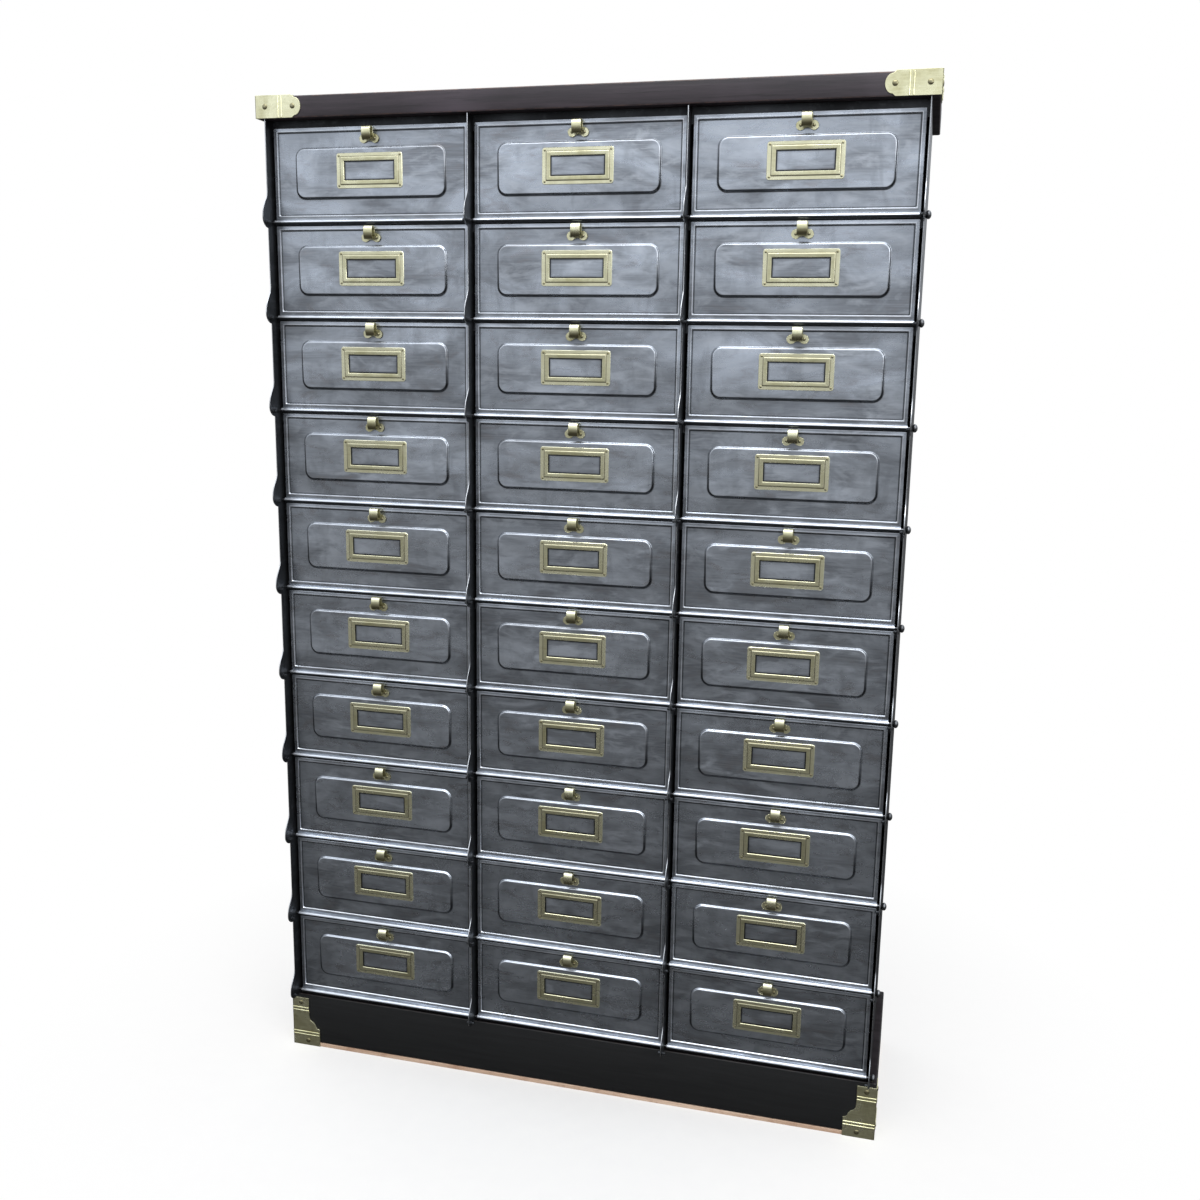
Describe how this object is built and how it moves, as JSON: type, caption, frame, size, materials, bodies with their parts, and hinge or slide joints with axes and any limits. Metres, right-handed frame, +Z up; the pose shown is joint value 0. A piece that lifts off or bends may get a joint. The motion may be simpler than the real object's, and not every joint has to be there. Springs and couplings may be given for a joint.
{
  "type": "card catalog cabinet",
  "caption": "Tall sheet-steel filing cabinet of drop-front compartments, each with a hinged pressed flap, brass label holder and pull, on a wooden plinth under a wooden top.",
  "frame": {"origin": "centre of the footprint, on the floor", "axes": "+Z up, +X to the right seen from the front, the flaps face -Y"},
  "size_m": [1.0822, 0.352, 1.695],
  "materials": {
    "flap_steel": "brushed bare steel with a clouded blue-grey patina under clear varnish",
    "casing_steel": "dark blued steel sheet, satin",
    "rod_steel": "drawn steel rod, polished by use",
    "brass": "aged pale brass, satin with darker hollows",
    "dark_wood": "near-black stained wood, satin"
  },
  "bodies": {
    "casing": {"top_board": "dark_wood", "plinth": "dark_wood", "side_left": "casing_steel", "side_right": "casing_steel", "divider_1": "casing_steel", "divider_2": "casing_steel", "shelf_01": "casing_steel", "shelf_02": "casing_steel", "shelf_03": "casing_steel", "shelf_04": "casing_steel", "shelf_05": "casing_steel", "shelf_06": "casing_steel", "shelf_07": "casing_steel", "shelf_08": "casing_steel", "shelf_09": "casing_steel", "back_and_top_sheet": "casing_steel", "hinge_rod_01": "rod_steel", "hinge_rod_02": "rod_steel", "hinge_rod_03": "rod_steel", "hinge_rod_04": "rod_steel", "hinge_rod_05": "rod_steel", "hinge_rod_06": "rod_steel", "hinge_rod_07": "rod_steel", "hinge_rod_08": "rod_steel", "hinge_rod_09": "rod_steel", "hinge_rod_10": "rod_steel", "top_corner_right": "brass", "top_corner_left": "brass", "foot_corner_right": "brass", "foot_corner_left": "brass"},
    "flap_r01_c1": {"flap_r01_c1": "flap_steel"},
    "flap_r01_c2": {"flap_r01_c2": "flap_steel"},
    "flap_r01_c3": {"flap_r01_c3": "flap_steel"},
    "flap_r02_c1": {"flap_r02_c1": "flap_steel"},
    "flap_r02_c2": {"flap_r02_c2": "flap_steel"},
    "flap_r02_c3": {"flap_r02_c3": "flap_steel"},
    "flap_r03_c1": {"flap_r03_c1": "flap_steel"},
    "flap_r03_c2": {"flap_r03_c2": "flap_steel"},
    "flap_r03_c3": {"flap_r03_c3": "flap_steel"},
    "flap_r04_c1": {"flap_r04_c1": "flap_steel"},
    "flap_r04_c2": {"flap_r04_c2": "flap_steel"},
    "flap_r04_c3": {"flap_r04_c3": "flap_steel"},
    "flap_r05_c1": {"flap_r05_c1": "flap_steel"},
    "flap_r05_c2": {"flap_r05_c2": "flap_steel"},
    "flap_r05_c3": {"flap_r05_c3": "flap_steel"},
    "flap_r06_c1": {"flap_r06_c1": "flap_steel"},
    "flap_r06_c2": {"flap_r06_c2": "flap_steel"},
    "flap_r06_c3": {"flap_r06_c3": "flap_steel"},
    "flap_r07_c1": {"flap_r07_c1": "flap_steel"},
    "flap_r07_c2": {"flap_r07_c2": "flap_steel"},
    "flap_r07_c3": {"flap_r07_c3": "flap_steel"},
    "flap_r08_c1": {"flap_r08_c1": "flap_steel"},
    "flap_r08_c2": {"flap_r08_c2": "flap_steel"},
    "flap_r08_c3": {"flap_r08_c3": "flap_steel"},
    "flap_r09_c1": {"flap_r09_c1": "flap_steel"},
    "flap_r09_c2": {"flap_r09_c2": "flap_steel"},
    "flap_r09_c3": {"flap_r09_c3": "flap_steel"},
    "flap_r10_c1": {"flap_r10_c1": "flap_steel"},
    "flap_r10_c2": {"flap_r10_c2": "flap_steel"},
    "flap_r10_c3": {"flap_r10_c3": "flap_steel"}
  },
  "joints": [
    {"name": "flap_r01_c1_hinge", "type": "hinge", "parent": "casing", "child": "flap_r01_c1", "pos_m": [-0.35, -0.142, 1.4985], "axis": [1, 0, 0], "range_deg": [0, 90]},
    {"name": "flap_r01_c2_hinge", "type": "hinge", "parent": "casing", "child": "flap_r01_c2", "pos_m": [0, -0.142, 1.4985], "axis": [1, 0, 0], "range_deg": [0, 90]},
    {"name": "flap_r01_c3_hinge", "type": "hinge", "parent": "casing", "child": "flap_r01_c3", "pos_m": [0.35, -0.142, 1.4985], "axis": [1, 0, 0], "range_deg": [0, 90]},
    {"name": "flap_r02_c1_hinge", "type": "hinge", "parent": "casing", "child": "flap_r02_c1", "pos_m": [-0.35, -0.142, 1.3445], "axis": [1, 0, 0], "range_deg": [0, 90]},
    {"name": "flap_r02_c2_hinge", "type": "hinge", "parent": "casing", "child": "flap_r02_c2", "pos_m": [0, -0.142, 1.3445], "axis": [1, 0, 0], "range_deg": [0, 90]},
    {"name": "flap_r02_c3_hinge", "type": "hinge", "parent": "casing", "child": "flap_r02_c3", "pos_m": [0.35, -0.142, 1.3445], "axis": [1, 0, 0], "range_deg": [0, 90]},
    {"name": "flap_r03_c1_hinge", "type": "hinge", "parent": "casing", "child": "flap_r03_c1", "pos_m": [-0.35, -0.142, 1.1905], "axis": [1, 0, 0], "range_deg": [0, 90]},
    {"name": "flap_r03_c2_hinge", "type": "hinge", "parent": "casing", "child": "flap_r03_c2", "pos_m": [0, -0.142, 1.1905], "axis": [1, 0, 0], "range_deg": [0, 90]},
    {"name": "flap_r03_c3_hinge", "type": "hinge", "parent": "casing", "child": "flap_r03_c3", "pos_m": [0.35, -0.142, 1.1905], "axis": [1, 0, 0], "range_deg": [0, 90]},
    {"name": "flap_r04_c1_hinge", "type": "hinge", "parent": "casing", "child": "flap_r04_c1", "pos_m": [-0.35, -0.142, 1.0365], "axis": [1, 0, 0], "range_deg": [0, 90]},
    {"name": "flap_r04_c2_hinge", "type": "hinge", "parent": "casing", "child": "flap_r04_c2", "pos_m": [0, -0.142, 1.0365], "axis": [1, 0, 0], "range_deg": [0, 90]},
    {"name": "flap_r04_c3_hinge", "type": "hinge", "parent": "casing", "child": "flap_r04_c3", "pos_m": [0.35, -0.142, 1.0365], "axis": [1, 0, 0], "range_deg": [0, 90]},
    {"name": "flap_r05_c1_hinge", "type": "hinge", "parent": "casing", "child": "flap_r05_c1", "pos_m": [-0.35, -0.142, 0.8825], "axis": [1, 0, 0], "range_deg": [0, 90]},
    {"name": "flap_r05_c2_hinge", "type": "hinge", "parent": "casing", "child": "flap_r05_c2", "pos_m": [0, -0.142, 0.8825], "axis": [1, 0, 0], "range_deg": [0, 90]},
    {"name": "flap_r05_c3_hinge", "type": "hinge", "parent": "casing", "child": "flap_r05_c3", "pos_m": [0.35, -0.142, 0.8825], "axis": [1, 0, 0], "range_deg": [0, 90]},
    {"name": "flap_r06_c1_hinge", "type": "hinge", "parent": "casing", "child": "flap_r06_c1", "pos_m": [-0.35, -0.142, 0.7285], "axis": [1, 0, 0], "range_deg": [0, 90]},
    {"name": "flap_r06_c2_hinge", "type": "hinge", "parent": "casing", "child": "flap_r06_c2", "pos_m": [0, -0.142, 0.7285], "axis": [1, 0, 0], "range_deg": [0, 90]},
    {"name": "flap_r06_c3_hinge", "type": "hinge", "parent": "casing", "child": "flap_r06_c3", "pos_m": [0.35, -0.142, 0.7285], "axis": [1, 0, 0], "range_deg": [0, 90]},
    {"name": "flap_r07_c1_hinge", "type": "hinge", "parent": "casing", "child": "flap_r07_c1", "pos_m": [-0.35, -0.142, 0.5745], "axis": [1, 0, 0], "range_deg": [0, 90]},
    {"name": "flap_r07_c2_hinge", "type": "hinge", "parent": "casing", "child": "flap_r07_c2", "pos_m": [0, -0.142, 0.5745], "axis": [1, 0, 0], "range_deg": [0, 90]},
    {"name": "flap_r07_c3_hinge", "type": "hinge", "parent": "casing", "child": "flap_r07_c3", "pos_m": [0.35, -0.142, 0.5745], "axis": [1, 0, 0], "range_deg": [0, 90]},
    {"name": "flap_r08_c1_hinge", "type": "hinge", "parent": "casing", "child": "flap_r08_c1", "pos_m": [-0.35, -0.142, 0.4205], "axis": [1, 0, 0], "range_deg": [0, 90]},
    {"name": "flap_r08_c2_hinge", "type": "hinge", "parent": "casing", "child": "flap_r08_c2", "pos_m": [0, -0.142, 0.4205], "axis": [1, 0, 0], "range_deg": [0, 90]},
    {"name": "flap_r08_c3_hinge", "type": "hinge", "parent": "casing", "child": "flap_r08_c3", "pos_m": [0.35, -0.142, 0.4205], "axis": [1, 0, 0], "range_deg": [0, 90]},
    {"name": "flap_r09_c1_hinge", "type": "hinge", "parent": "casing", "child": "flap_r09_c1", "pos_m": [-0.35, -0.142, 0.2665], "axis": [1, 0, 0], "range_deg": [0, 90]},
    {"name": "flap_r09_c2_hinge", "type": "hinge", "parent": "casing", "child": "flap_r09_c2", "pos_m": [0, -0.142, 0.2665], "axis": [1, 0, 0], "range_deg": [0, 90]},
    {"name": "flap_r09_c3_hinge", "type": "hinge", "parent": "casing", "child": "flap_r09_c3", "pos_m": [0.35, -0.142, 0.2665], "axis": [1, 0, 0], "range_deg": [0, 90]},
    {"name": "flap_r10_c1_hinge", "type": "hinge", "parent": "casing", "child": "flap_r10_c1", "pos_m": [-0.35, -0.142, 0.1125], "axis": [1, 0, 0], "range_deg": [0, 90]},
    {"name": "flap_r10_c2_hinge", "type": "hinge", "parent": "casing", "child": "flap_r10_c2", "pos_m": [0, -0.142, 0.1125], "axis": [1, 0, 0], "range_deg": [0, 90]},
    {"name": "flap_r10_c3_hinge", "type": "hinge", "parent": "casing", "child": "flap_r10_c3", "pos_m": [0.35, -0.142, 0.1125], "axis": [1, 0, 0], "range_deg": [0, 90]}
  ]
}
